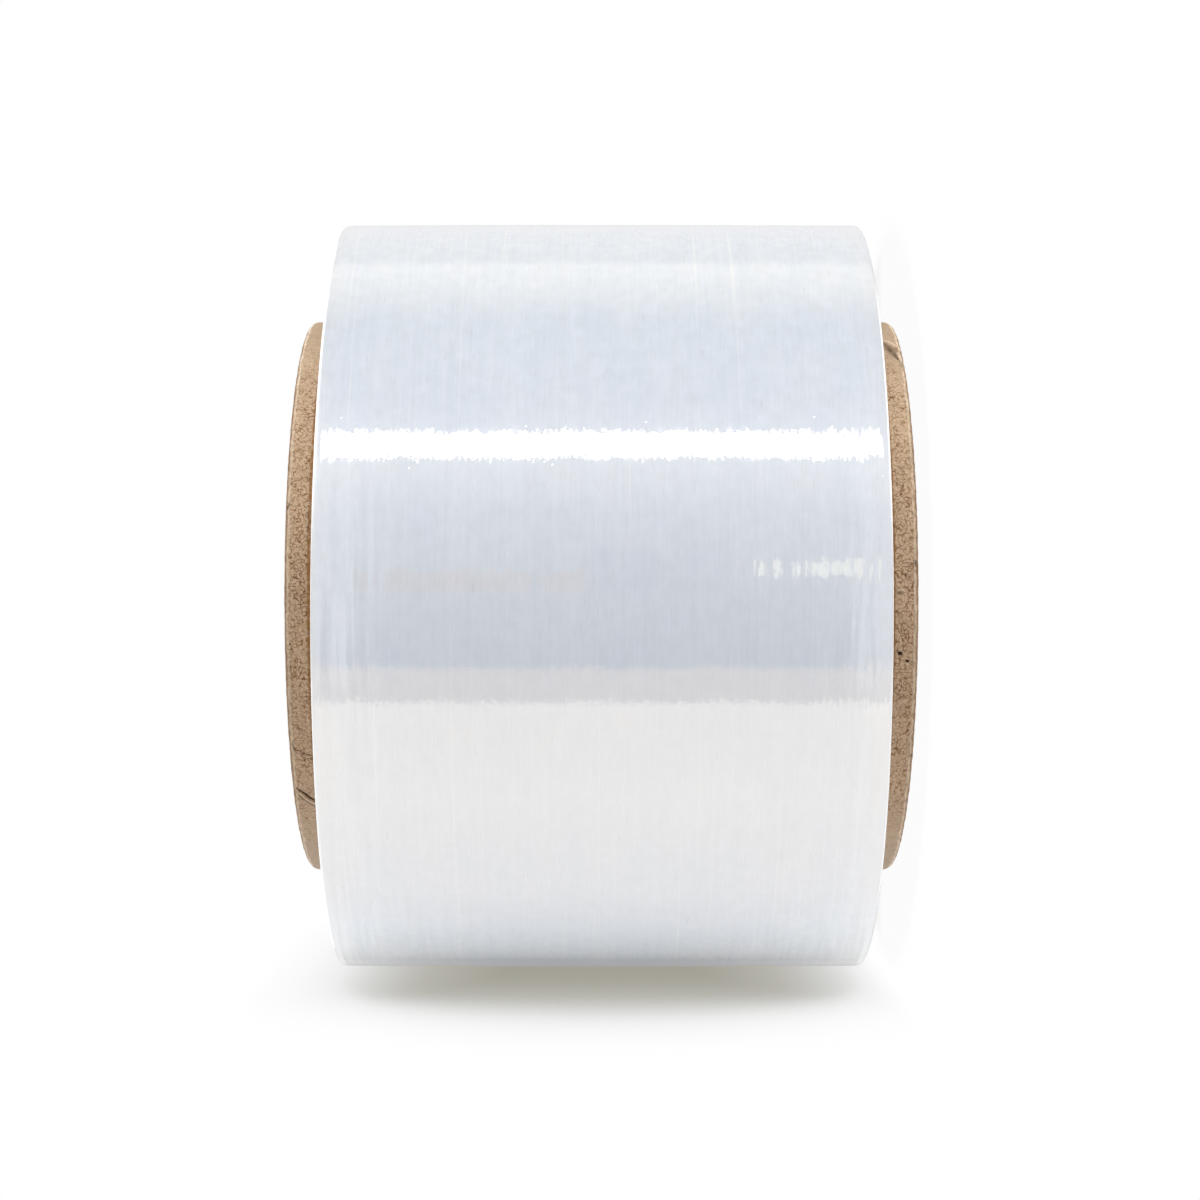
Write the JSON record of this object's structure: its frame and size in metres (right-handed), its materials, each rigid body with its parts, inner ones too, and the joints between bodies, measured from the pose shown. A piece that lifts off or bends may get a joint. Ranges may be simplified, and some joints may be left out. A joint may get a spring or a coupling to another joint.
{
  "type": "stretch wrap roll",
  "caption": "Short roll of clear stretch film wound on a cardboard tube that stands out past the film at both ends.",
  "frame": {"origin": "middle of the tube's lower end, on the surface that the roll stands on", "axes": "+Z along the roll's axis; -Y is the side that the picture shows, and +X is up in the picture"},
  "size_m": [0.1116, 0.1114, 0.0865],
  "materials": {
    "kraft_board": "matte spirally wound kraft board",
    "clear_film": "glossy clear film, milky in many turns"
  },
  "bodies": {
    "root": {"cardboard_core": "kraft_board", "film_roll": "clear_film"}
  },
  "joints": []
}
